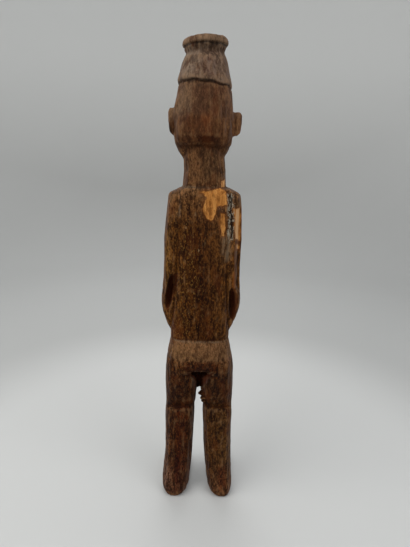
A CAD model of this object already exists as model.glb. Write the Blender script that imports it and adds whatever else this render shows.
"""The looks of a carved wooden figure: knife work, grain and a worn dark patina on one block of wood.

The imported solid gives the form. Its mesh is copied, made fine, and then cut and worn in code.
Lengths are in metres in the scene and in millimetres inside the carving functions.
"""
import math

import bmesh
import bpy
import numpy as np
from mathutils import Matrix, Vector
from mathutils.bvhtree import BVHTree


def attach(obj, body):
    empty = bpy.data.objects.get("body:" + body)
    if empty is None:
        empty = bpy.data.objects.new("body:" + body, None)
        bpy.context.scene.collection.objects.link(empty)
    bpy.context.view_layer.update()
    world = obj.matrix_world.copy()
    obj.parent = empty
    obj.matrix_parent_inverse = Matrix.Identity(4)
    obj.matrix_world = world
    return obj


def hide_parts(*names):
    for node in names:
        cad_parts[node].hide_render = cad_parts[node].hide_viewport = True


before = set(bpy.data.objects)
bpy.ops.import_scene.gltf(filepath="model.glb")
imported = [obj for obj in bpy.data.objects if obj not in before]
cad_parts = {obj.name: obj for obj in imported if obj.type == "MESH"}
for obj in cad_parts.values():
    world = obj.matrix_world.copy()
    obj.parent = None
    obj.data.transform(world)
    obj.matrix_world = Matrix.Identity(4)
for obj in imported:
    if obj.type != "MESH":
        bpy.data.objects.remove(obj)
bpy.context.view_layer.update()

NODE = "carved_figure"
MM = 0.001

# The height to the middle of the hat's rim, in millimetres, as the solid has it.
HEIGHT = 450.0

# The cell of the carved mesh in millimetres, coarser while trying things, the most triangles that it
# keeps, and how far off the walls that shut in a crevice may be, in millimetres.
CELL = 0.72
MOST_TRIANGLES = 196000
CREVICE_REACH = 14.0

# The pale cove, in metres: the radius of its flat floor, the radius of its sweep and the wall's top.
COVE_FLOOR = 0.9
COVE_SWEEP = 0.6
COVE_TOP = 2.9
SWEEP_STEPS = 14
COVE_SIDES = 96

# The photograph's view. Its long side is 547 pixels, and 400 of them are the lens's focal length.
PHOTO_WIDE = 410
PHOTO_TALL = 547
FOCAL_PIXELS = 400
SENSOR = 36.0
CAMERA_PLACE = (-0.00445, 0.382, 0.355)
CAMERA_DOWN = math.radians(16)
CAMERA_ROLL = math.radians(1.16)

# Levels of the carving, as shares of the height.
KNEE = 0.239
BUTTOCK_FOLD = 0.328
WAIST = 0.408
NECK_FOOT = 0.734
NAPE = 0.811
BRIM = 0.9215
RIM_FOOT = 0.977
RIM_LINE = 0.987

# How much the hat's lower edge rises to the figure's left and to its back, how much the rim rises to
# the left, and how far behind the origin the body's axis is.
BRIM_RISE_ASIDE = 0.075
BRIM_RISE_BACK = 0.09
RIM_RISE_ASIDE = -0.055
BODY_AXIS_MM = 8.5

# Fine cuts at the front, in millimetres: how far aside, how long to each end and how high the closed
# eyes, the mouth and the cuts between fingers are, and where each cut between toes is from the foot's
# middle.
EYE_ASIDE, EYE_HALF, EYE_LEVEL = 10.6, 4.3, 389.2
MOUTH_HALF, MOUTH_LEVEL = 7.4, 366.1
FINGERS_ASIDE, FINGERS_HALF = 6.0, 4.6
FINGER_LEVELS = (198.9, 202.3, 205.7)
FOOT_MIDDLE = 25.2
FOOT_TOP = 30.0
TOE_CUTS = (-8.9, -2.9, 2.8, 8.1)

# The pointed top of the gap between the legs, in millimetres: its middle, the level of the groin's lower
# edge, how much the cut rises in the middle and how much it comes down beside it.
GAP_MIDDLE = -0.8
GAP_TOP = 114.0
GAP_RISE = 0.6
GAP_FALL = 1.7

# The blade's rough lumps inside the right thigh: where each is, in millimetres, and its radius.
BURRS = [(-4, 19, 128.5, 1.5), (-4, 18, 122.5, 2.3), (-4.5, 20, 118, 2.1), (-4.5, 19, 113.5, 1.9)]

# Long flat cuts: the way each faces, in degrees from the back towards the figure's left, its distance
# from the body's axis in millimetres, and its lowest and highest level.
FLAT_CUTS = [
    (39, 24.0, 0.872, 0.915),
    (-46, 25.4, 0.872, 0.915),
    (8, 23.8, 0.85, 0.9),
    (30, 22.9, 0.925, 0.968),
    (-32, 22.9, 0.927, 0.965),
    (72, 35.4, 0.52, 0.69),
    (-70, 35.2, 0.54, 0.69),
]

# Marks on the back, outlined in the photograph's pixels.
SHOULDER_FLAKE = [
    (200, 192), (204, 193), (207, 198), (203, 203), (202, 209), (205, 214), (207, 219), (211, 221),
    (214, 218), (216, 211), (217, 207), (221, 206), (226, 205), (227, 197), (225, 191), (220, 188),
    (216, 189), (207, 191),
]
SMALL_FLAKE = [(220.5, 213), (225.3, 214), (225.3, 226), (224.3, 236), (221.6, 236), (220.8, 224)]
ARM_STRIP = [(234, 209), (240, 208), (240.5, 222), (240, 240), (236, 239), (234, 228)]
ARM_DOT = [(237, 245), (239.5, 245.5), (239.5, 249), (237, 248.5)]
NECK_CHIP = [(220.5, 181), (224.5, 180), (225, 186), (221.5, 187)]
ARM_CRACK = [(231, 196), (231.5, 209), (231.2, 222), (231.8, 238)]
HIGH_CRACK = [(228.5, 196), (229.5, 205), (228.8, 216)]
GREY_SCAR = [(217, 207), (222, 206.5), (223, 212), (218, 213.5)]
GREY_FLANK = [(221, 236), (231, 235), (232.5, 250), (230, 263), (224, 262), (220, 250)]
CHALK_LINE = [(229.5, 222), (228.8, 233), (229.6, 241)]
ORANGE_STREAK = [(232.5, 272), (235.2, 272), (235, 289), (232.2, 288)]
PALE_EDGE = [(180, 192), (180.4, 204), (179.3, 216)]
LEFT_HOLLOW = [
    (172, 274), (177, 273), (177, 281), (175, 291), (172, 302), (168, 312), (165.5, 309), (165, 297),
    (168, 284),
]
RIGHT_HOLLOW = [(231, 287), (236, 289), (238, 301), (236.5, 313), (233, 322), (230, 317), (229.5, 302)]
CROTCH_HOLLOW = [
    (187.5, 373.5), (212.5, 373.5), (209, 378), (206.5, 382.5), (203, 386.5), (199.5, 385), (196, 380),
    (191, 376.5),
]
SPLIT_ZONE = [
    (228, 194), (232.5, 194), (234, 206), (234, 222), (233, 239), (229, 242), (227.5, 233), (229, 222),
    (227.5, 209),
]
LIGHT_SPECKS = [(177.5, 214.5), (195.8, 215), (186.6, 228), (198.7, 250), (205, 243), (191, 236)]

# Planes and stains whose colour differs from what is round them, outlined in the photograph's pixels.
HEAD_BACK_PLANE = [(191.5, 86), (223, 87), (225, 100), (225, 112), (212, 114), (192, 112)]
HEAD_LEFT_PLANE = [(176, 87), (191, 86), (191.5, 112), (175, 112)]
HEAD_LIGHT_WEDGE = [(200, 115), (214, 114), (206.5, 127)]
HEAD_LOW_LEFT = [(181, 116), (199, 115), (203, 128), (184, 130)]
HEAD_RED_BAND = [(196, 135.5), (219, 135.5), (218, 142), (199, 142)]
HAT_PATCH = [(201, 58), (210, 56), (217, 62), (217, 74), (208, 77), (202, 71)]
NECK_SHADE = [(203, 150), (216, 150), (216, 184), (204, 184)]
BUTTOCK_RED = [(185, 363), (215, 362), (217, 372), (184, 373)]
FOLD_SHADE = [(186, 370.5), (214, 370.5), (213, 375), (187, 375)]
BELOW_BUTTOCKS = [(182, 374), (221, 374), (213, 379), (189, 379)]
CROTCH_SHADE = [(187, 374), (213, 374), (209, 381), (204, 387), (198, 385), (192, 380)]
LEFT_HEEL_GREY = [(163, 460), (170.5, 458), (170, 482), (165, 482)]
LEFT_HEEL_RED = [(174, 455), (179, 454), (181, 476), (182, 492), (175, 490)]
LEFT_CALF_GREY = [(165, 404), (171.5, 404), (171, 440), (172, 470), (168, 492), (161, 480)]
LEFT_CALF_RED = [(175, 405), (190, 405), (187, 440), (184, 470), (176, 470)]
RIGHT_HEEL_RED = [(217, 468), (226, 466), (227, 488), (219, 490)]
RIGHT_CALF_LIGHT = [(206, 405), (216, 405), (217, 455), (214, 492), (208, 470)]
LEFT_ARM_GREY = [(163, 210), (170, 200), (170, 250), (169, 290), (162, 290)]
LEFT_ARM_NICK = [(168.5, 233), (170.5, 233), (170.5, 247), (168.5, 247)]
LEFT_EAR_GROOVE = [(173, 113), (175.2, 113), (176.5, 132), (174, 134)]
LEFT_EAR_LOBE = [(168.5, 123), (171, 124), (172, 134), (169, 133)]
RIGHT_EAR = [(233, 110), (241, 110), (241, 135), (233, 136)]
RIGHT_EAR_GROOVE = [(235, 113), (236.8, 113), (236.8, 132), (235, 132)]

# How each is toned: how soft its edge is in pixels, and what its red, green and blue are multiplied by.
TONES = [
    (HEAD_BACK_PLANE, 1.0, (0.88, 0.8, 0.76)),
    (HEAD_LEFT_PLANE, 1.0, (1.08, 1.12, 1.14)),
    (HEAD_LIGHT_WEDGE, 0.8, (1.35, 1.22, 1.15)),
    (HEAD_LOW_LEFT, 1.2, (0.86, 0.82, 0.78)),
    (HEAD_RED_BAND, 1.5, (0.44, 0.3, 0.26)),
    (HAT_PATCH, 2.0, (0.68, 0.56, 0.56)),
    (NECK_SHADE, 3.0, (0.8, 0.84, 0.85)),
    (BUTTOCK_RED, 2.5, (0.85, 0.66, 0.55)),
    (FOLD_SHADE, 2.0, (0.6, 0.5, 0.45)),
    (BELOW_BUTTOCKS, 2.0, (0.5, 0.42, 0.38)),
    (CROTCH_SHADE, 2.5, (0.5, 0.44, 0.42)),
    (LEFT_HEEL_GREY, 1.5, (1.25, 1.4, 1.6)),
    (LEFT_HEEL_RED, 2.0, (0.7, 0.45, 0.4)),
    (LEFT_CALF_GREY, 2.0, (1.3, 1.45, 1.8)),
    (LEFT_CALF_RED, 3.0, (1.1, 0.82, 0.72)),
    (RIGHT_HEEL_RED, 2.5, (0.85, 0.58, 0.5)),
    (RIGHT_CALF_LIGHT, 3.0, (1.15, 1.15, 1.0)),
    (LEFT_ARM_GREY, 2.0, (1.35, 1.65, 2.2)),
    (LEFT_ARM_NICK, 0.8, (0.4, 0.36, 0.34)),
    (LEFT_EAR_GROOVE, 0.8, (0.5, 0.45, 0.4)),
    (LEFT_EAR_LOBE, 0.8, (0.5, 0.5, 0.5)),
    (RIGHT_EAR, 1.0, (1.9, 2.1, 2.4)),
    (RIGHT_EAR_GROOVE, 0.8, (0.5, 0.45, 0.4)),
    (GREY_SCAR, 1.0, (1.7, 1.5, 1.35)),
    (SPLIT_ZONE, 1.0, (0.45, 0.42, 0.42)),
]

# Colours of wear, stains and dust, 0 to 255 as a screen shows them.
LIGHT_SPECK = (150, 124, 92)
RED_STAIN = (84, 38, 10)
OCHRE = (150, 108, 52)
HAT_DUST = (136, 120, 106)
FLANK_GREY = (110, 92, 84)
WORN_EDGE = (132, 98, 66)
DIRT = (40, 17, 5)
HOLLOW_BROWN = (84, 38, 18)
CHALK = (126, 108, 86)
ORANGE = (140, 78, 28)

# Colours of the bare wood, of the flakes' edges and of the split with its splinters.
BARE_STREAKS = [(0.32, (138, 84, 36)), (0.5, (176, 116, 56)), (0.68, (198, 140, 76))]
BARE_STAIN = (96, 53, 23)
BARE_PORE = (110, 64, 28)
BARE_ON_ARM = (208, 166, 122)
FLAKE_EDGE = (104, 56, 22)
SPLIT_DARK = (30, 16, 9)
SPLINTER = (156, 146, 128)

# What the patina's red, green and blue are multiplied by in each kind of its grain.
DARK_GRAIN = (0.239, 0.175, 0.133, 1)
LIGHT_GRAIN = (1.85, 1.8, 1.65, 1)
BLOTCH = (0.34, 0.27, 0.22, 1)
GLINT = (2.3, 2.2, 2.0, 1)
PORE = (0.22, 0.18, 0.15, 1)
FLECK = (3.4, 3.2, 2.8, 1)


def quick_or(full):
    """The cheaper of two settings while trying things."""
    return full


# The camera, the pale cove and the lights.


def place_camera():
    data = bpy.data.cameras.new("photograph_view")
    data.sensor_width = SENSOR
    data.lens = SENSOR * FOCAL_PIXELS / PHOTO_TALL
    camera = bpy.data.objects.new("photograph_view", data)
    bpy.context.scene.collection.objects.link(camera)
    turn = Matrix.Rotation(math.pi, 4, "Z") @ Matrix.Rotation(math.pi / 2 - CAMERA_DOWN, 4, "X")
    camera.matrix_world = Matrix.Translation(CAMERA_PLACE) @ turn @ Matrix.Rotation(CAMERA_ROLL, 4, "Z")
    bpy.context.scene.camera = camera
    return camera


def photo_pixels(points, camera):
    """Where points in millimetres fall in the photograph, in its own pixels."""
    into_view = np.array(camera.matrix_world.inverted())
    seen = (points * MM) @ into_view[:3, :3].T + into_view[:3, 3]
    across = PHOTO_WIDE / 2 + FOCAL_PIXELS * seen[:, 0] / -seen[:, 2]
    down = PHOTO_TALL / 2 - FOCAL_PIXELS * seen[:, 1] / -seen[:, 2]
    return np.stack([across, down], 1)


def make_cove():
    """A round floor that sweeps up into a wall, so that every view has a plain pale ground."""
    profile = [(0.0, 0.0), (COVE_FLOOR, 0.0)]
    for step in range(1, SWEEP_STEPS + 1):
        angle = math.pi / 2 * step / SWEEP_STEPS
        profile.append((COVE_FLOOR + COVE_SWEEP * math.sin(angle), COVE_SWEEP * (1 - math.cos(angle))))
    profile.append((COVE_FLOOR + COVE_SWEEP, COVE_TOP))
    mesh = bpy.data.meshes.new("cove")
    made = bmesh.new()
    line = [made.verts.new((radius, 0, level)) for radius, level in profile]
    edges = [made.edges.new(pair) for pair in zip(line, line[1:])]
    bmesh.ops.spin(
        made, geom=line + edges, cent=(0, 0, 0), axis=(0, 0, 1), angle=math.tau, steps=COVE_SIDES,
        use_merge=True,
    )
    bmesh.ops.remove_doubles(made, verts=made.verts, dist=1e-5)
    bmesh.ops.recalc_face_normals(made, faces=made.faces)
    for face in made.faces:
        face.smooth = True
    made.to_mesh(mesh)
    made.free()
    cove = bpy.data.objects.new("cove", mesh)
    bpy.context.scene.collection.objects.link(cove)
    cove.data.materials.append(pale_ground())


def pale_ground():
    material = bpy.data.materials.new("pale_ground")
    material.use_nodes = True
    tree = material.node_tree
    shader = tree.nodes["Principled BSDF"]
    place = add(tree, "ShaderNodeTexCoord").outputs["Object"]
    level = stretched(tree, place, (1, 1, 0))
    away = add(tree, "ShaderNodeVectorMath", {0: level}, operation="LENGTH").outputs["Value"]
    floor_end = span(tree, away, 0.27, 0.47)
    tone = ramp(tree, floor_end, [(0.0, srgb(199, 200, 199)), (1.0, srgb(176, 177, 176))])
    upward = add(tree, "ShaderNodeSeparateXYZ", {0: place}).outputs["Z"]
    tone = blend(tree, span(tree, upward, 0.05, 0.8), tone, srgb(216, 217, 216))
    tree.links.new(tone, shader.inputs["Base Color"])
    shader.inputs["Roughness"].default_value = 0.85
    return material


def place_light(name, place, size, power, colour, target=(0, 0, 0.25)):
    data = bpy.data.lights.new(name, "AREA")
    data.shape = "DISK"
    data.size = size
    data.energy = power
    data.color = colour
    light = bpy.data.objects.new(name, data)
    light.location = place
    light.rotation_euler = (Vector(place) - Vector(target)).to_track_quat("Z", "Y").to_euler()
    light.visible_camera = False
    bpy.context.scene.collection.objects.link(light)


def light_studio():
    place_light("window", (0.8, 0.5, 0.95), 1.2, 8.4, (1.0, 0.985, 0.96))
    place_light("fill", (-0.8, 0.6, 0.8), 0.9, 3.8, (0.99, 0.99, 1.0))
    place_light("front", (0.1, -0.85, 0.9), 0.9, 3.6, (0.98, 0.99, 1.0))
    place_light("ceiling", (0, 0, 1.9), 1.8, 6.5, (0.99, 0.99, 1.0))
    world = bpy.data.worlds.new("studio")
    world.use_nodes = True
    world.node_tree.nodes["Background"].inputs["Color"].default_value = (0.97, 0.985, 1.0, 1)
    world.node_tree.nodes["Background"].inputs["Strength"].default_value = 0.42
    bpy.context.scene.world = world
    bpy.context.scene.view_settings.view_transform = "Standard"


# Shader nodes.


def srgb(red, green, blue):
    """A colour as a screen shows it, 0 to 255, in the shader's own linear values."""
    def linear(value):
        share = value / 255
        return share / 12.92 if share <= 0.04045 else ((share + 0.055) / 1.055) ** 2.4

    return linear(red), linear(green), linear(blue), 1.0


def add(tree, kind, inputs=None, **settings):
    """A node with its settings, and with a value or a link on each named or numbered input."""
    node = tree.nodes.new(kind)
    for name, value in settings.items():
        setattr(node, name, value)
    for name, value in (inputs or {}).items():
        if isinstance(value, bpy.types.NodeSocket):
            tree.links.new(value, node.inputs[name])
        else:
            node.inputs[name].default_value = value
    return node


def noise(tree, place, scale, detail=4, roughness=0.55, distortion=0.0):
    inputs = {
        "Vector": place, "Scale": scale, "Detail": detail, "Roughness": roughness, "Distortion": distortion,
    }
    return add(tree, "ShaderNodeTexNoise", inputs).outputs["Fac"]


def stretched(tree, place, scale):
    inputs = {"Vector": place, "Scale": scale}
    return add(tree, "ShaderNodeMapping", inputs).outputs["Vector"]


def ramp(tree, factor, stops):
    node = add(tree, "ShaderNodeValToRGB", {"Fac": factor})
    elements = node.color_ramp.elements
    while len(elements) < len(stops):
        elements.new(0.5)
    for element, (position, colour) in zip(elements, stops):
        element.position = position
        element.color = colour
    return node.outputs["Color"]


def blend(tree, factor, low, high, mode="MIX"):
    node = add(tree, "ShaderNodeMix", data_type="RGBA", blend_type=mode, clamp_factor=True)
    for index, value in ((0, factor), (6, low), (7, high)):
        if isinstance(value, bpy.types.NodeSocket):
            tree.links.new(value, node.inputs[index])
        else:
            node.inputs[index].default_value = value
    return node.outputs[2]


def calculate(tree, operation, first, second=0.0, third=0.0):
    inputs = {0: first, 1: second, 2: third}
    return add(tree, "ShaderNodeMath", inputs, operation=operation).outputs[0]


def times(tree, first, second):
    return calculate(tree, "MULTIPLY", first, second)


def span(tree, value, low, high, out_low=0.0, out_high=1.0):
    """Spreads a value between two limits onto another pair, smoothly."""
    inputs = {"Value": value, "From Min": low, "From Max": high, "To Min": out_low, "To Max": out_high}
    return add(tree, "ShaderNodeMapRange", inputs, interpolation_type="SMOOTHSTEP").outputs["Result"]


def mask(tree, name):
    """A mask that the carving left on the mesh."""
    return add(tree, "ShaderNodeAttribute", attribute_name=name).outputs["Fac"]


# Numbers that vary over the surface.


def lattice(cells, seed):
    """A steady random number from 0 to 1 for each whole-numbered cell."""
    mixed = cells[:, 0] * 374761393 + cells[:, 1] * 668265263 + cells[:, 2] * 1274126177 + seed * 362437
    mixed &= 0xFFFFFFFF
    mixed = ((mixed ^ (mixed >> 13)) * 1274126177) & 0xFFFFFFFF
    return (mixed ^ (mixed >> 16)) / 0xFFFFFFFF


def waves(points, size, seed, octaves=1):
    """Smooth noise from -1 to 1. Size is one wave's length, or three lengths along X, Y and Z."""
    total = np.zeros(len(points))
    weight, reach = 1.0, 0.0
    for octave in range(octaves):
        scaled = points / (np.array(size) * 0.5**octave) + 17.3 * octave
        corner = np.floor(scaled).astype(np.int64)
        part = scaled - corner
        part = part * part * (3 - 2 * part)
        value = np.zeros(len(points))
        for step in np.ndindex(2, 2, 2):
            share = np.prod(np.where(step, part, 1 - part), axis=1)
            value += share * lattice(corner + step, seed + octave)
        total += weight * (2 * value - 1)
        reach += weight
        weight *= 0.5
    return total / reach


def facets(points, size, seed):
    """Cuts of a knife: 0 on the ridges between neighbouring cuts, 1 in the middle of each."""
    scaled = points / np.array(size)
    corner = np.floor(scaled).astype(np.int64)
    nearest = np.full(len(points), 9.0)
    second = np.full(len(points), 9.0)
    for step in np.ndindex(3, 3, 3):
        cell = corner + step - 1
        heart = cell + np.stack([lattice(cell, seed + axis) for axis in range(3)], 1)
        away = np.linalg.norm(scaled - heart, axis=1)
        second = np.minimum(second, np.maximum(nearest, away))
        nearest = np.minimum(nearest, away)
    return np.clip((second - nearest) / 0.6, 0, 1)


def soft_step(value, low, high):
    share = np.clip((value - low) / (high - low), 0, 1)
    return share * share * (3 - 2 * share)


def inside(pixels, outline):
    """How far each pixel is inside a closed outline, negative outside."""
    starts = np.array(outline, float)
    ends = np.roll(starts, -1, 0)
    crossings = np.zeros(len(pixels), int)
    for start, end in zip(starts, ends):
        spans = (start[1] > pixels[:, 1]) != (end[1] > pixels[:, 1])
        rise = end[1] - start[1]
        crossing = start[0] + (pixels[:, 1] - start[1]) * (end[0] - start[0]) / (rise or 1e-9)
        crossings += spans & (pixels[:, 0] < crossing)
    away = beside(pixels, outline + outline[:1])
    return np.where(crossings % 2 == 1, away, -away)


def beside(pixels, line):
    """How far each pixel is from a line through points."""
    away = np.full(len(pixels), 1e9)
    for start, end in zip(np.array(line[:-1], float), np.array(line[1:], float)):
        along = end - start
        share = np.clip(((pixels - start) @ along) / max(along @ along, 1e-9), 0, 1)
        away = np.minimum(away, np.linalg.norm(pixels - start - share[:, None] * along, axis=1))
    return away


# The carving.


class Surface:
    """A fine mesh as arrays, in millimetres."""

    def __init__(self, mesh):
        self.mesh = mesh
        count = len(mesh.vertices)
        flat = np.empty(count * 3, np.float32)
        mesh.vertices.foreach_get("co", flat)
        self.points = flat.reshape(-1, 3).astype(float) / MM
        ends = np.empty(len(mesh.edges) * 2, np.int32)
        mesh.edges.foreach_get("vertices", ends)
        self.edges = ends.reshape(-1, 2)
        self.degree = np.bincount(self.edges.ravel(), minlength=count).clip(1)

    def write(self):
        self.mesh.vertices.foreach_set("co", (self.points * MM).astype(np.float32).ravel())
        self.mesh.update()

    def normals(self):
        self.write()
        flat = np.empty(len(self.points) * 3, np.float32)
        self.mesh.vertex_normals.foreach_get("vector", flat)
        return flat.reshape(-1, 3).astype(float)

    def mean(self, values):
        """Each vertex's mean over its neighbours."""
        first, second = self.edges.T
        count = len(values)
        total = np.bincount(first, values[second], count) + np.bincount(second, values[first], count)
        return total / self.degree

    def relaxed(self, points, rounds, strength=0.5):
        """Points drawn towards their neighbours. Strength may differ from vertex to vertex."""
        for _ in range(rounds):
            means = np.stack([self.mean(points[:, axis]) for axis in range(3)], 1)
            points = points + np.reshape(strength, (-1, 1)) * (means - points)
        return points

    def keep(self, name, values):
        """Leaves a mask on the mesh for the shader."""
        layer = self.mesh.attributes.new(name, "FLOAT", "POINT")
        layer.data.foreach_set("value", np.asarray(values, np.float32))


def apply_modifier(piece, kind, **settings):
    modifier = piece.modifiers.new("step", kind)
    for name, value in settings.items():
        setattr(modifier, name, value)
    graph = bpy.context.evaluated_depsgraph_get()
    made = bpy.data.meshes.new_from_object(piece.evaluated_get(graph))
    piece.modifiers.clear()
    piece.data = made


def copy_of_solid():
    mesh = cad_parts[NODE].data.copy()
    made = bmesh.new()
    made.from_mesh(mesh)
    bmesh.ops.remove_doubles(made, verts=made.verts, dist=1e-6)
    made.to_mesh(mesh)
    made.free()
    mesh.materials.clear()
    piece = bpy.data.objects.new("figure_carving", mesh)
    bpy.context.scene.collection.objects.link(piece)
    return piece


def brim_height(points):
    """How far a point is above the hat's sloping lower edge."""
    rise = BRIM_RISE_ASIDE * points[:, 0] + BRIM_RISE_BACK * (points[:, 1] - BODY_AXIS_MM)
    return points[:, 2] - BRIM * HEIGHT - rise


def ragged_brim_height(points):
    """How far a point is above that edge as the blade left it, a little uneven."""
    return brim_height(points) + 0.9 * waves(points, (7, 7, 50), 71)


def fine_parts(points):
    """1 where fingers, toes and face need a lighter hand."""
    front = soft_step(-points[:, 1], 8, 14)
    level = points[:, 2] / HEIGHT
    face = front * soft_step(level, 0.775, 0.79) * (1 - soft_step(level, 0.9, 0.91))
    hands = front * soft_step(level, 0.42, 0.43) * (1 - soft_step(level, 0.5, 0.51))
    toes = soft_step(-points[:, 1], 6, 12) * (1 - soft_step(level, 0.03, 0.04))
    return np.clip(face + hands + toes, 0, 1)


def flat_cuts(points):
    """Planes that a straight blade leaves along the head, the hat and the arms."""
    cut = points.copy()
    level = points[:, 2] / HEIGHT
    for bearing, distance, low, high in FLAT_CUTS:
        turn = math.radians(bearing)
        facing = np.array([math.sin(turn), math.cos(turn), 0.0])
        from_axis = cut - (0, BODY_AXIS_MM, 0)
        beyond = np.clip(from_axis @ facing - distance, 0, 4)
        along = soft_step(level, low - 0.03, low) * (1 - soft_step(level, high, high + 0.012))
        cut -= facing * (beyond * along * soft_step(from_axis[:, 1], 5, 8))[:, None]
    return cut


def knife_work(points, fine):
    """The low facets, waver and furrows of a blade, in millimetres above the smooth form."""
    long_cuts = facets(points, (13, 13, 42), 11)
    short_cuts = facets(points, (6, 6, 15), 23)
    waver = waves(points, (26, 26, 60), 31, 2)
    furrows = waves(points, (2.6, 2.6, 26), 41, 2)
    fibres = waves(points, (1.5, 1.5, 9), 47)
    depth = -0.5 * long_cuts - 0.22 * short_cuts + 0.45 * waver + 0.12 * furrows + 0.08 * fibres
    on_hat = soft_step(brim_height(points), -1, 0)
    return depth * (1 - 0.75 * fine) * (1 - 0.45 * on_hat)


def rim_line_height(points):
    """How far a point is above the ragged split round the hat's rim."""
    rise = RIM_RISE_ASIDE * points[:, 0]
    return points[:, 2] - RIM_LINE * HEIGHT - rise + 0.9 * waves(points, (8, 8, 300), 57, 2)


def hat_work(points, normals):
    """The chisel marks under the rim, its worn lip, and the ragged cut under the hat's edge."""
    level = points[:, 2] / HEIGHT
    angle = np.arctan2(points[:, 0], points[:, 1] - BODY_AXIS_MM)
    line = rim_line_height(points)
    under_rim = soft_step(level, RIM_FOOT - 0.012, RIM_FOOT) * (1 - soft_step(line, -0.8, 0.0))
    strokes = np.abs(np.sin(angle * 15 + 1.5 * waves(points, (9, 9, 30), 53)))
    depth = -under_rim * (0.3 + 0.5 * strokes)
    depth -= 1.5 * np.exp(-((line / 0.75) ** 2))
    lip = soft_step(line, 0.5, 2.0)
    depth += lip * (0.5 + 0.3 * waves(points, 7, 59, 2) - 0.4 * soft_step(waves(points, 9, 61), 0.45, 0.75))
    crown = soft_step(level, 0.994, 0.999) * (normals[:, 2] > 0.7)
    split = np.abs(waves(points, (9, 9, 400), 67)) < 0.05
    depth -= 0.5 * crown * split
    brim = ragged_brim_height(points)
    depth -= 0.95 * np.exp(-(((brim + 1.0) / 0.9) ** 2))
    pits = soft_step(waves(points, (1.8, 1.8, 1.8), 73), 0.35, 0.7)
    depth -= 0.7 * pits * np.exp(-(((brim + 2.6) / 1.6) ** 2))
    return depth


def crease_work(points):
    """Cuts at the nape, neck, waist, knees and below the buttocks."""
    behind = soft_step(points[:, 1], 6, 12)
    level = points[:, 2] + 0.8 * waves(points, (9, 9, 60), 79)

    def cut(share, width, depth):
        return depth * np.exp(-(((level - share * HEIGHT) / width) ** 2))

    ledges = cut(NAPE, 1.5, 0.5) + cut(NECK_FOOT, 0.8, 0.3) + cut(WAIST, 0.8, 0.2) + cut(KNEE, 1.3, 0.3)
    fold = cut(BUTTOCK_FOLD, 2.2, 1.4) * (1 - soft_step(np.abs(points[:, 0]), 10, 22))
    return -behind * (ledges + fold)


def fine_cuts(points):
    """The thin cuts of the closed eyes and the mouth, and those between fingers and toes."""
    x, y, z = points.T
    front = soft_step(-y, 12, 15)

    def slit(middle, half, level):
        return np.exp(-(((z - level) / 0.6) ** 2)) * (1 - soft_step(np.abs(x - middle), half - 1, half + 0.6))

    cuts = slit(0, MOUTH_HALF, MOUTH_LEVEL)
    toes = np.zeros(len(points))
    for side in (1, -1):
        cuts += slit(side * EYE_ASIDE, EYE_HALF, EYE_LEVEL)
        for level in FINGER_LEVELS:
            cuts += 1.2 * slit(side * FINGERS_ASIDE, FINGERS_HALF, level)
        for aside in TOE_CUTS:
            toes += np.exp(-(((x - side * FOOT_MIDDLE - aside) / 0.8) ** 2))
    toes *= soft_step(-y, 23.5, 26.5) * soft_step(z, 0.8, 2.5) * (z < FOOT_TOP)
    return -0.9 * cuts * front - 1.6 * toes


def point_the_gap(points):
    """Draws the flat top of the gap between the legs into a pointed one."""
    moved = points.copy()
    aside = np.abs(points[:, 0] - GAP_MIDDLE)
    near = np.exp(-(((points[:, 2] - GAP_TOP) / 5) ** 2)) * (1 - soft_step(aside, 3.5, 6.5))
    moved[:, 2] += near * (GAP_RISE - (GAP_RISE + GAP_FALL) * soft_step(aside, 0.2, 2.2))
    return moved


def pressed(points, pixels, behind):
    """1 in the shadowed hollows of the arms and the crotch, which the blade opened from behind."""
    ragged = pixels + 0.7 * np.stack([waves(points, 5.0, 109), waves(points, 5.0, 113)], 1)
    share = np.zeros(len(points))
    for outline in (LEFT_HOLLOW, RIGHT_HOLLOW, CROTCH_HOLLOW):
        share = np.maximum(share, soft_step(inside(ragged, outline), -1.2, 2.4))
    return share * behind


def thigh_burrs(points):
    """How far the rough lumps inside the right thigh stand out into the gap between the legs."""
    out = np.zeros(len(points))
    for x, y, z, radius in BURRS:
        away = np.linalg.norm((points - (x, y, z)) / (1.6, 1.5, 1.0), axis=1)
        out += 1.5 * radius * (1 - soft_step(away, 0.3 * radius, 1.5 * radius))
    return out * (1 + 0.5 * waves(points, 1.6, 83))


def wear_marks(points, pixels, behind):
    """The flaked shoulder, the splits beside it and small dents. Returns depth and the masks."""
    ragged = pixels + 1.7 * np.stack([waves(points, 3.6, 89, 3), waves(points, 3.6, 97, 3)], 1)
    far = np.full(len(points), -20.0)
    bare = far
    for outline in (SHOULDER_FLAKE, SMALL_FLAKE, ARM_STRIP, ARM_DOT, NECK_CHIP):
        bare = np.maximum(bare, inside(ragged, outline))
    bare = np.where(behind, bare, far)
    crack = np.minimum(beside(ragged, ARM_CRACK) - 0.3, beside(ragged, HIGH_CRACK) + 0.1)
    crack = np.where(behind, crack, 20.0)
    dents = soft_step(waves(points, (4, 4, 9), 101, 2), 0.42, 0.6)
    depth = -0.38 * soft_step(bare, -0.4, 0.5) - 0.7 * (1 - soft_step(crack, 0.3, 1.0)) - 0.2 * dents
    return depth, bare, crack


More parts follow.
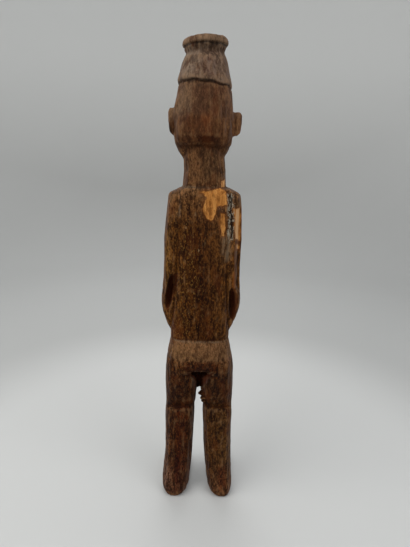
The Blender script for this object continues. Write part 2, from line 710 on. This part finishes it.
def crevice_depth(surface, rays):
    """How shut in each vertex is, 0 in the open and 1 in a deep hollow."""
    points = surface.points
    normals = surface.normals()
    faces = [tuple(face.vertices) for face in surface.mesh.polygons]
    tree = BVHTree.FromPolygons([tuple(p) for p in points], faces)
    golden = math.pi * (3 - math.sqrt(5))
    hemisphere = []
    for ray in range(rays):
        height = math.sqrt((ray + 0.5) / rays)
        ring = math.sqrt(1 - height * height)
        hemisphere.append((ring * math.cos(golden * ray), ring * math.sin(golden * ray), height))
    shut = np.zeros(len(points))
    for index, (point, normal) in enumerate(zip(points, normals)):
        up = Vector(normal)
        turn = up.to_track_quat("Z", "Y")
        start = Vector(point) + up * 0.3
        hits = 0
        for direction in hemisphere:
            if tree.ray_cast(start, turn @ Vector(direction), CREVICE_REACH)[0] is not None:
                hits += 1
        shut[index] = hits / rays
    return shut


def smooth_form(surface, fine):
    """Rounds the fine mesh, straightens the long cuts and points the gap between the legs."""
    surface.points = surface.relaxed(surface.points, quick_or(5), 0.5 - 0.35 * fine)
    below_buttocks = surface.points - (0, 22, 150)
    near_fold = np.exp(-((below_buttocks / (14, 14, 6)) ** 2).sum(1))
    surface.points = surface.relaxed(surface.points, quick_or(10), 0.6 * near_fold)
    surface.points = point_the_gap(flat_cuts(surface.points))


def cut_surface(surface, fine, camera):
    """Moves the smooth form by what the blade, the wear and the splits take away or leave standing."""
    points = surface.points
    normals = surface.normals()
    pixels = photo_pixels(points, camera)
    behind = normals[:, 1] > 0.0
    wear, _, _ = wear_marks(points, pixels, behind)
    depth = knife_work(points, fine) + hat_work(points, normals) + crease_work(points)
    depth += fine_cuts(points) + thigh_burrs(points) + wear
    depth -= 1.5 * pressed(points, pixels, behind)
    depth += 0.3
    off_the_soles = soft_step(points[:, 2], 0.8, 3.0)
    surface.points = points + normals * (depth * off_the_soles)[:, None]
    surface.points[:, 2] = np.maximum(surface.points[:, 2], 0)
    surface.write()


def carve_figure(camera):
    piece = copy_of_solid()
    apply_modifier(piece, "REMESH", mode="VOXEL", voxel_size=quick_or(CELL) * MM)
    surface = Surface(piece.data)
    fine = fine_parts(surface.points)
    smooth_form(surface, fine)
    cut_surface(surface, fine, camera)
    triangles = 2 * len(piece.data.polygons)
    apply_modifier(piece, "TRIANGULATE")
    if triangles > MOST_TRIANGLES:
        apply_modifier(piece, "DECIMATE", ratio=MOST_TRIANGLES / triangles)
    leave_masks(Surface(piece.data), camera)
    for polygon in piece.data.polygons:
        polygon.use_smooth = True
    piece.data.materials.append(aged_wood())
    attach(piece, "root")
    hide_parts(NODE)


# The patina.

# The patina down the figure: each place's level, as a share of the height, and its colours at the
# figure's left, in the middle and at its right.
PATINA = {
    "sole": (0.00, (72, 45, 31), (66, 40, 26), (78, 50, 32)),
    "calf": (0.12, (57, 29, 10), (50, 24, 6), (66, 42, 18)),
    "below the knee": (0.22, (50, 24, 6), (44, 20, 4), (60, 37, 14)),
    "above the knee": (0.25, (47, 22, 6), (42, 19, 4), (48, 26, 8)),
    "thigh": (0.34, (50, 24, 6), (48, 21, 4), (51, 26, 7)),
    "buttock": (0.36, (70, 40, 17), (64, 33, 11), (68, 38, 16)),
    "hip": (0.375, (98, 70, 45), (94, 66, 42), (94, 66, 43)),
    "below the waist": (0.405, (102, 73, 48), (100, 70, 45), (98, 70, 46)),
    "above the waist": (0.413, (78, 47, 16), (54, 27, 5), (74, 44, 15)),
    "back": (0.55, (80, 48, 14), (46, 20, 3), (82, 51, 20)),
    "shoulder blades": (0.66, (77, 46, 15), (54, 27, 6), (86, 54, 25)),
    "shoulders": (0.715, (92, 62, 36), (80, 52, 28), (96, 68, 44)),
    "foot of the neck": (0.735, (96, 68, 44), (90, 63, 39), (92, 66, 44)),
    "low neck": (0.75, (90, 62, 39), (84, 57, 35), (86, 61, 41)),
    "high neck": (0.80, (88, 60, 37), (82, 54, 33), (86, 60, 40)),
    "nape": (0.811, (60, 36, 20), (58, 34, 18), (62, 38, 22)),
    "above the nape": (0.824, (72, 45, 26), (78, 47, 27), (84, 54, 33)),
    "low head": (0.858, (74, 46, 27), (80, 49, 29), (86, 56, 34)),
    "high head": (0.872, (106, 82, 63), (76, 52, 36), (92, 64, 46)),
    "below the hat": (0.918, (108, 83, 62), (76, 52, 36), (92, 64, 46)),
    "hat's edge": (0.922, (109, 95, 82), (96, 77, 64), (104, 84, 71)),
    "hat's waist": (0.973, (109, 95, 82), (96, 77, 64), (104, 84, 71)),
    "foot of the rim": (0.979, (82, 66, 52), (80, 63, 50), (82, 64, 50)),
    "below the rim's line": (0.9867, (80, 64, 50), (78, 61, 48), (80, 62, 48)),
    "lip of the rim": (0.9873, (110, 89, 71), (110, 88, 70), (108, 87, 69)),
}


def keep_wood_masks(surface, normals):
    """Leaves masks of worn ridges, furrows, crevices, ochre, the flanks, even wood and the hat."""
    points = surface.points
    level = points[:, 2] / HEIGHT
    ridge = ((points - surface.relaxed(points, 10)) * normals).sum(1)
    surface.keep("worn", soft_step(ridge, 0.02, 0.22))
    surface.keep("furrow", soft_step(-ridge, 0.02, 0.22))
    shut = crevice_depth(surface, quick_or(20))
    surface.keep("crevice", soft_step(surface.mean(shut), 0.12, 0.75))
    from_heart = ((points[:, 0] - 14) / 15) ** 2 + ((level - 0.53) / 0.16) ** 2
    surface.keep("ochre", np.exp(-from_heart) * soft_step(normals[:, 1], 0.2, 0.7))
    surface.keep("sides", soft_step(np.abs(normals[:, 0]), 0.55, 0.95))
    neck_and_head = 0.55 * soft_step(level, 0.73, 0.75) + 0.45 * soft_step(level, 0.8, 0.83)
    hip_top = 0.7 * soft_step(level, 0.365, 0.38) * (1 - soft_step(level, 0.408, 0.412))
    surface.keep("even", neck_and_head + hip_top)
    surface.keep("hat", soft_step(brim_height(points), -0.6, 0.4))


def keep_mark_masks(surface, normals, pixels):
    """Leaves masks of bare wood, the splits and their splinters, the hollows, chalk and orange."""
    points = surface.points
    behind = normals[:, 1] > 0.0
    back = soft_step(normals[:, 1], 0.0, 0.4)
    _, bare, crack = wear_marks(points, pixels, behind)
    surface.keep("bare", bare)
    surface.keep("crack", crack)
    surface.keep("soot", pressed(points, pixels, behind))
    splinters = soft_step(inside(pixels, SPLIT_ZONE), -1.4, 0.2) * soft_step(crack, -0.1, 0.6)
    surface.keep("splinters", splinters * behind)
    chalk = [
        inside(pixels, GREY_SCAR),
        0.4 * inside(pixels, GREY_FLANK) - 0.6,
        1.2 - beside(pixels, CHALK_LINE),
        0.8 - beside(pixels, PALE_EDGE),
        1.2 - 1.5 * np.abs(points[:, 2] - NECK_FOOT * HEIGHT - 0.5),
        0.9 - 1.5 * np.abs(points[:, 2] - WAIST * HEIGHT - 0.4),
    ]
    surface.keep("chalk", back * soft_step(np.max(chalk, axis=0), -1.5, 1.5))
    surface.keep("orange", back * soft_step(inside(pixels, ORANGE_STREAK), -1.0, 1.0))


def patina_level(points):
    """Each point's level for the patina: ragged on the body, and along the sloping lines of the hat."""
    level = points[:, 2] / HEIGHT
    ragged = level + 0.008 * waves(points, (11, 11, 22), 103, 2) * (1 - soft_step(level, 0.86, 0.88))
    ragged = np.where(level > 0.88, brim_height(points) / HEIGHT + BRIM, ragged)
    return np.where(level > 0.965, rim_line_height(points) / HEIGHT + RIM_LINE, ragged)


def patina_colours(points):
    """The patina's colour at each point, blended over level and from side to side."""
    level = patina_level(points)
    levels = [place[0] for place in PATINA.values()]
    across = np.clip(0.5 - points[:, 0] / 50 + 0.15 * waves(points, (14, 14, 60), 107, 2), 0, 1)
    columns = []
    for column in (1, 2, 3):
        tints = np.array([srgb(*place[column]) for place in PATINA.values()])
        columns.append(np.stack([np.interp(level, levels, tints[:, channel]) for channel in range(4)], 1))
    left, middle, right = columns
    from_left = np.clip(across * 2, 0, 1)[:, None]
    to_right = np.clip(across * 2 - 1, 0, 1)[:, None]
    return left + from_left * (middle - left) + to_right * (right - middle)


def tone_marks(colours, points, normals, pixels):
    """Tones the planes and stains, darkens the lines and fine cuts, and sets the light specks."""
    back = soft_step(normals[:, 1], 0.0, 0.4)
    for outline, softness, tone in TONES:
        share = back * soft_step(inside(pixels, outline), -softness, softness)
        colours[:, :3] *= 1 + share[:, None] * (np.array(tone) - 1)
    rim_line = 0.85 * np.exp(-(rim_line_height(points) ** 2))
    brim_line = 0.75 * np.exp(-(((ragged_brim_height(points) + 1.0) / 1.1) ** 2))
    cuts = np.clip(-fine_cuts(points), 0, 0.8)
    colours[:, :3] *= (1 - np.max([rim_line, brim_line, cuts], axis=0))[:, None]
    for speck in LIGHT_SPECKS:
        share = 0.6 * back * (1 - soft_step(np.linalg.norm(pixels - speck, axis=1), 0.4, 1.1))
        colours += share[:, None] * (np.array(srgb(*LIGHT_SPECK)) - colours)


def leave_masks(surface, camera):
    """Leaves on the mesh the masks and the patina's colours that the shader reads."""
    points = surface.points
    normals = surface.normals()
    pixels = photo_pixels(points, camera)
    keep_wood_masks(surface, normals)
    keep_mark_masks(surface, normals, pixels)
    colours = patina_colours(points)
    tone_marks(colours, points, normals, pixels)
    layer = surface.mesh.color_attributes.new("patina", "FLOAT_COLOR", "POINT")
    layer.data.foreach_set("color", colours.astype(np.float32).ravel())


class WoodGrain:
    """Patterns that the wood's colour, gloss and bump share. Most are drawn out along the grain."""

    def __init__(self, tree):
        place = add(tree, "ShaderNodeTexCoord").outputs["Object"]
        upright = stretched(tree, place, (1, 1, 0.11))
        short = stretched(tree, place, (1, 1, 0.45))
        self.streaks = noise(tree, upright, scale=480, detail=5, roughness=0.6, distortion=0.3)
        self.fibre = noise(tree, upright, scale=1500, detail=3, roughness=0.6)
        self.mottle = noise(tree, short, scale=190, detail=6, roughness=0.62)
        self.cloud = noise(tree, short, scale=42, detail=3)
        self.stain = noise(tree, short, scale=75, detail=4)
        self.curl = noise(tree, short, scale=320, detail=2, distortion=1.5)
        self.coarse = noise(tree, short, scale=520, detail=2, roughness=0.6)
        self.speck = noise(tree, short, scale=780, detail=3, roughness=0.7)
        self.spot = noise(tree, short, scale=1000, detail=2)
        self.mixed = calculate(tree, "MULTIPLY_ADD", self.streaks, 0.4, times(tree, self.mottle, 0.6))
        self.lively = span(tree, mask(tree, "even"), 0.0, 1.0, 1.0, 0.4)


def grained_patina(tree, wood):
    """The patina with its grain, blotches, glints, pores and flecks, quieter where it is even."""
    patina = add(tree, "ShaderNodeAttribute", attribute_name="patina").outputs["Color"]

    def tinted(tint):
        return blend(tree, 1.0, patina, tint, "MULTIPLY")

    base = blend(tree, span(tree, wood.mixed, 0.42, 0.58), tinted(DARK_GRAIN), tinted(LIGHT_GRAIN))
    base = blend(tree, span(tree, wood.cloud, 0.35, 0.65, 0.0, 0.3), base, patina)
    base = blend(tree, span(tree, mask(tree, "even"), 0.0, 1.0, 0.0, 0.5), base, patina)
    layers = [
        (span(tree, wood.coarse, 0.5, 0.62, 0.0, 0.55), BLOTCH),
        (span(tree, wood.coarse, 0.46, 0.36, 0.0, 0.5), GLINT),
        (span(tree, wood.speck, 0.52, 0.6, 0.0, 0.9), PORE),
        (span(tree, wood.speck, 0.42, 0.35, 0.0, 0.75), FLECK),
    ]
    for share, tint in layers:
        base = blend(tree, times(tree, share, wood.lively), base, tinted(tint))
    return base


def stained_and_worn(tree, wood, base):
    """Adds stains, ochre specks, dust, worn edges, dirt in the cuts, and the chalk and orange marks."""
    base = blend(tree, span(tree, wood.stain, 0.54, 0.68, 0.0, 0.4), base, srgb(*RED_STAIN))
    ochre = times(tree, span(tree, mask(tree, "ochre"), 0.0, 0.8, 0.15, 0.8), 0.7)
    ochre = times(tree, span(tree, wood.spot, 0.58, 0.68), ochre)
    base = blend(tree, ochre, base, srgb(*OCHRE))
    dust = times(tree, mask(tree, "hat"), span(tree, wood.mottle, 0.45, 0.62, 0.0, 0.35))
    base = blend(tree, dust, base, srgb(*HAT_DUST))
    grey = times(tree, mask(tree, "sides"), span(tree, wood.streaks, 0.42, 0.6, 0.0, 0.5))
    base = blend(tree, grey, base, srgb(*FLANK_GREY))
    worn = times(tree, mask(tree, "worn"), span(tree, wood.mottle, 0.4, 0.6, 0.0, 0.4))
    base = blend(tree, worn, base, srgb(*WORN_EDGE))
    shut = times(tree, mask(tree, "crevice"), 0.65)
    grooves = times(tree, mask(tree, "furrow"), times(tree, wood.lively, 0.6))
    base = blend(tree, calculate(tree, "MAXIMUM", shut, grooves), base, srgb(*DIRT))
    base = blend(tree, times(tree, mask(tree, "soot"), 0.7), base, srgb(*HOLLOW_BROWN))
    chalk = times(tree, mask(tree, "chalk"), span(tree, wood.mixed, 0.44, 0.58, 0.1, 0.6))
    base = blend(tree, chalk, base, srgb(*CHALK))
    return blend(tree, times(tree, mask(tree, "orange"), 0.5), base, srgb(*ORANGE))


def bare_wood(tree, wood):
    """Pale wood with streaks, stains and pores, lighter on the arm's flank."""
    pale = ramp(tree, wood.streaks, [(position, srgb(*colour)) for position, colour in BARE_STREAKS])
    pale = blend(tree, span(tree, wood.mottle, 0.53, 0.65, 0.0, 0.65), pale, srgb(*BARE_STAIN))
    pale = blend(tree, span(tree, wood.speck, 0.52, 0.64, 0.0, 0.6), pale, srgb(*BARE_PORE))
    return blend(tree, times(tree, mask(tree, "sides"), 0.7), pale, srgb(*BARE_ON_ARM))


def flaked_and_split(tree, wood, bare, base):
    """Adds the flakes down to bare wood with their edges, and the split with its splinters."""
    base = blend(tree, span(tree, bare, -3.2, 0.2, 0.0, 0.55), base, srgb(*FLAKE_EDGE))
    base = blend(tree, span(tree, bare, -0.35, 0.35), base, bare_wood(tree, wood))
    base = blend(tree, span(tree, mask(tree, "crack"), 0.1, 0.9, 1.0, 0.0), base, srgb(*SPLIT_DARK))
    from_middle = calculate(tree, "ABSOLUTE", calculate(tree, "SUBTRACT", wood.curl, 0.5))
    thread = times(tree, span(tree, from_middle, 0.03, 0.06, 0.85, 0.0), mask(tree, "splinters"))
    return blend(tree, thread, base, srgb(*SPLINTER))


def aged_wood():
    """Dark handled patina over pale wood that shows where it has flaked."""
    material = bpy.data.materials.new("aged_wood")
    material.use_nodes = True
    tree = material.node_tree
    shader = tree.nodes["Principled BSDF"]
    wood = WoodGrain(tree)
    rough_edge = calculate(tree, "MULTIPLY_ADD", calculate(tree, "ADD", wood.speck, wood.mottle), 3.6, -3.6)
    bare = calculate(tree, "ADD", mask(tree, "bare"), rough_edge)
    base = stained_and_worn(tree, wood, grained_patina(tree, wood))
    base = flaked_and_split(tree, wood, bare, base)
    tree.links.new(base, shader.inputs["Base Color"])
    gloss = span(tree, wood.mottle, 0.35, 0.65, 0.55, 0.72)
    gloss = calculate(tree, "MULTIPLY_ADD", span(tree, bare, -0.35, 0.35), 0.2, gloss)
    tree.links.new(gloss, shader.inputs["Roughness"])
    height = calculate(tree, "MULTIPLY_ADD", wood.streaks, 0.8, wood.mottle)
    height = calculate(tree, "MULTIPLY_ADD", wood.fibre, 0.5, height)
    bump = add(tree, "ShaderNodeBump", {"Height": height, "Strength": 0.8, "Distance": 0.0005})
    tree.links.new(bump.outputs["Normal"], shader.inputs["Normal"])
    shader.inputs["Specular IOR Level"].default_value = 0.06
    return material


camera = place_camera()
make_cove()
light_studio()
carve_figure(camera)
